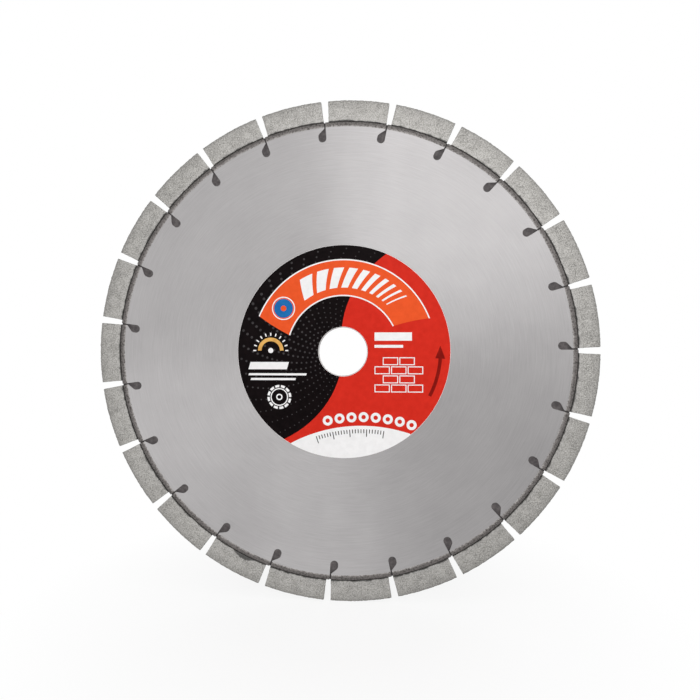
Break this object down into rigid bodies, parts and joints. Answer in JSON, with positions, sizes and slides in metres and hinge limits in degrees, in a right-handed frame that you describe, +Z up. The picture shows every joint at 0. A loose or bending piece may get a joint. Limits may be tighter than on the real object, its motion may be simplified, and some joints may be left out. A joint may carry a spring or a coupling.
{
  "type": "diamond blade",
  "caption": "Segmented diamond cutting blade for concrete, with a laminated quiet core, resin-filled slots and welded segments round the rim.",
  "frame": {"origin": "centre of the bore, halfway through the blade's thickness", "axes": "+Z up with the blade standing as pictured, spin axis along Y, label face towards -Y"},
  "size_m": [0.23, 0.0026, 0.23],
  "materials": {
    "sheet_steel": "fine ground, satin",
    "soft_copper": "dull rolled copper",
    "weld_metal": "dark, heat tinted",
    "damping_resin": "dull",
    "printed_film": "gloss print in red, black, orange and white",
    "sintered_diamond": "grainy sintered metal with diamond grit",
    "segment_foot_metal": "fine sintered metal without grit"
  },
  "bodies": {
    "root": {"core_disc_front": "sheet_steel", "core_disc_rear": "sheet_steel", "damping_sheet": "soft_copper", "weld_bead_front": "weld_metal", "weld_bead_rear": "weld_metal", "slot_plugs": "damping_resin", "label_front": "printed_film", "diamond_segment_01": "sintered_diamond", "diamond_segment_02": "sintered_diamond", "diamond_segment_03": "sintered_diamond", "diamond_segment_04": "sintered_diamond", "diamond_segment_05": "sintered_diamond", "diamond_segment_06": "sintered_diamond", "diamond_segment_07": "sintered_diamond", "diamond_segment_08": "sintered_diamond", "diamond_segment_09": "sintered_diamond", "diamond_segment_10": "sintered_diamond", "diamond_segment_11": "sintered_diamond", "diamond_segment_12": "sintered_diamond", "diamond_segment_13": "sintered_diamond", "diamond_segment_14": "sintered_diamond", "diamond_segment_15": "sintered_diamond", "diamond_segment_16": "sintered_diamond", "diamond_segment_17": "sintered_diamond", "diamond_segment_18": "sintered_diamond", "diamond_segment_19": "sintered_diamond", "diamond_segment_20": "sintered_diamond", "diamond_segment_21": "sintered_diamond", "diamond_segment_22": "sintered_diamond", "diamond_segment_23": "sintered_diamond", "segment_foot_01": "segment_foot_metal", "segment_foot_02": "segment_foot_metal", "segment_foot_03": "segment_foot_metal", "segment_foot_04": "segment_foot_metal", "segment_foot_05": "segment_foot_metal", "segment_foot_06": "segment_foot_metal", "segment_foot_07": "segment_foot_metal", "segment_foot_08": "segment_foot_metal", "segment_foot_09": "segment_foot_metal", "segment_foot_10": "segment_foot_metal", "segment_foot_11": "segment_foot_metal", "segment_foot_12": "segment_foot_metal", "segment_foot_13": "segment_foot_metal", "segment_foot_14": "segment_foot_metal", "segment_foot_15": "segment_foot_metal", "segment_foot_16": "segment_foot_metal", "segment_foot_17": "segment_foot_metal", "segment_foot_18": "segment_foot_metal", "segment_foot_19": "segment_foot_metal", "segment_foot_20": "segment_foot_metal", "segment_foot_21": "segment_foot_metal", "segment_foot_22": "segment_foot_metal", "segment_foot_23": "segment_foot_metal"}
  },
  "joints": []
}
